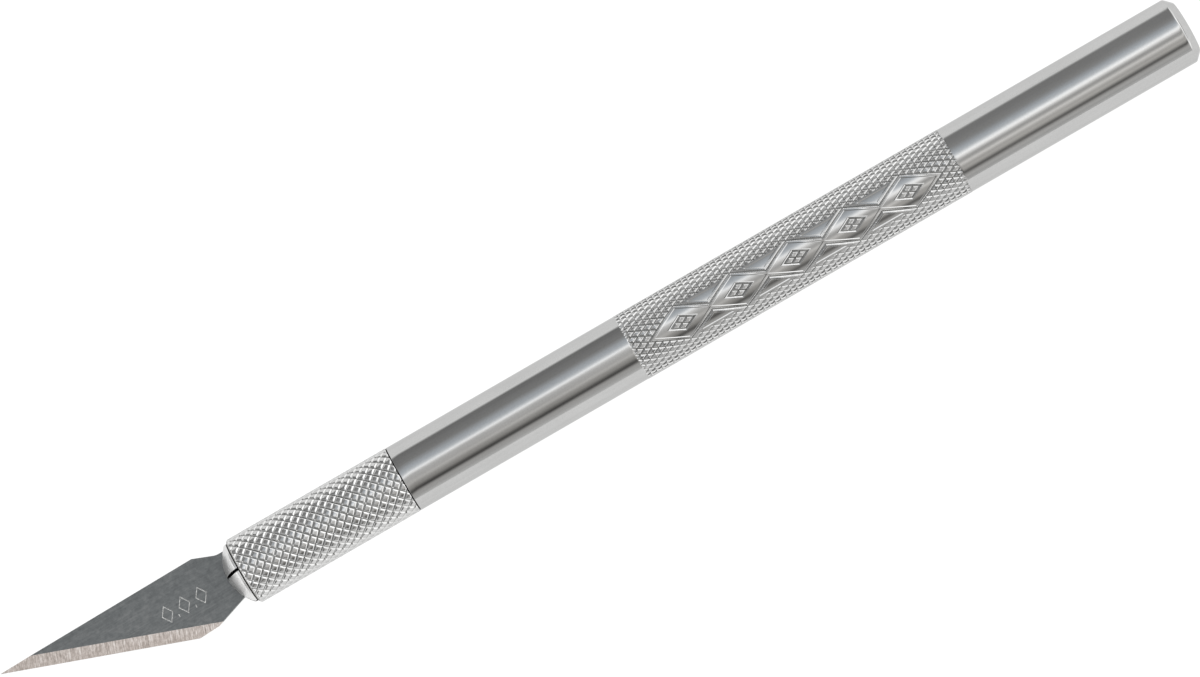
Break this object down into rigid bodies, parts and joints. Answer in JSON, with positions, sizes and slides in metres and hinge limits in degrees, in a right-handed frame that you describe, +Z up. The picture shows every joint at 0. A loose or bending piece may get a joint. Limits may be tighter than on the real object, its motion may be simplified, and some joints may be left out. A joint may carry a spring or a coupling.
{
  "type": "hobby craft knife",
  "caption": "Slim round metal craft knife: solid turned handle with a knurled grip band, knurled clamping sleeve, slotted screw collet and a pointed straight-edge blade.",
  "frame": {"origin": "under the middle of the knife, on the surface it lies on; the handle's axis is 3.99 mm above it at y = 0", "axes": "+X from the blade's tip to the handle's rear end, +Y towards the blade's spine, +Z up, with the blade lying flat"},
  "size_m": [0.1502, 0.0082, 0.008],
  "materials": {
    "handle_metal": "clear finely turned bright aluminium, satin, with a bright diamond-rolled grip band",
    "sleeve_metal": "bright diamond-knurled aluminium",
    "collet_metal": "turned aluminium, fine satin",
    "blade_steel": "blue-grey rolled carbon steel flats with a bright ground bevel"
  },
  "bodies": {
    "handle": {"handle_body": "handle_metal"},
    "sleeve": {"clamping_sleeve": "sleeve_metal"},
    "collet": {"collet_stem": "collet_metal"},
    "jaw_1": {"collet_jaw_1": "collet_metal"},
    "jaw_2": {"collet_jaw_2": "collet_metal"},
    "jaw_3": {"collet_jaw_3": "collet_metal"},
    "jaw_4": {"collet_jaw_4": "collet_metal"},
    "blade": {"blade": "blade_steel"}
  },
  "joints": [
    {"name": "sleeve_turn", "type": "hinge", "parent": "handle", "child": "sleeve", "pos_m": [-0.03593, 0, 0.00399], "axis": [-1, 0, 0], "range_deg": [0, 720]},
    {"name": "collet_travel", "type": "slide", "parent": "sleeve", "child": "collet", "axis": [-1, 0, 0], "range_m": [0, 0.00159]},
    {"name": "jaw_1_flex", "type": "hinge", "parent": "collet", "child": "jaw_1", "pos_m": [-0.03343, 0.00141, 0.0054], "axis": [0, 0.7071, -0.7071], "range_deg": [0, 1.1]},
    {"name": "jaw_2_flex", "type": "hinge", "parent": "collet", "child": "jaw_2", "pos_m": [-0.03343, -0.00141, 0.0054], "axis": [0, 0.7071, 0.7071], "range_deg": [0, 1.1]},
    {"name": "jaw_3_flex", "type": "hinge", "parent": "collet", "child": "jaw_3", "pos_m": [-0.03343, -0.00141, 0.00258], "axis": [0, -0.7071, 0.7071], "range_deg": [0, 1.1]},
    {"name": "jaw_4_flex", "type": "hinge", "parent": "collet", "child": "jaw_4", "pos_m": [-0.03343, 0.00141, 0.00258], "axis": [0, -0.7071, -0.7071], "range_deg": [0, 1.1]},
    {"name": "blade_slide", "type": "slide", "parent": "collet", "child": "blade", "axis": [-1, 0, 0], "range_m": [0, 0.013]}
  ],
  "couplings": [
    {"joint": "sleeve_turn", "follows": "collet_travel", "rad_per_m": 7915.8},
    {"joint": "jaw_1_flex", "follows": "collet_travel", "rad_per_m": 12.082},
    {"joint": "jaw_2_flex", "follows": "collet_travel", "rad_per_m": 12.082},
    {"joint": "jaw_3_flex", "follows": "collet_travel", "rad_per_m": 12.082},
    {"joint": "jaw_4_flex", "follows": "collet_travel", "rad_per_m": 12.082}
  ]
}
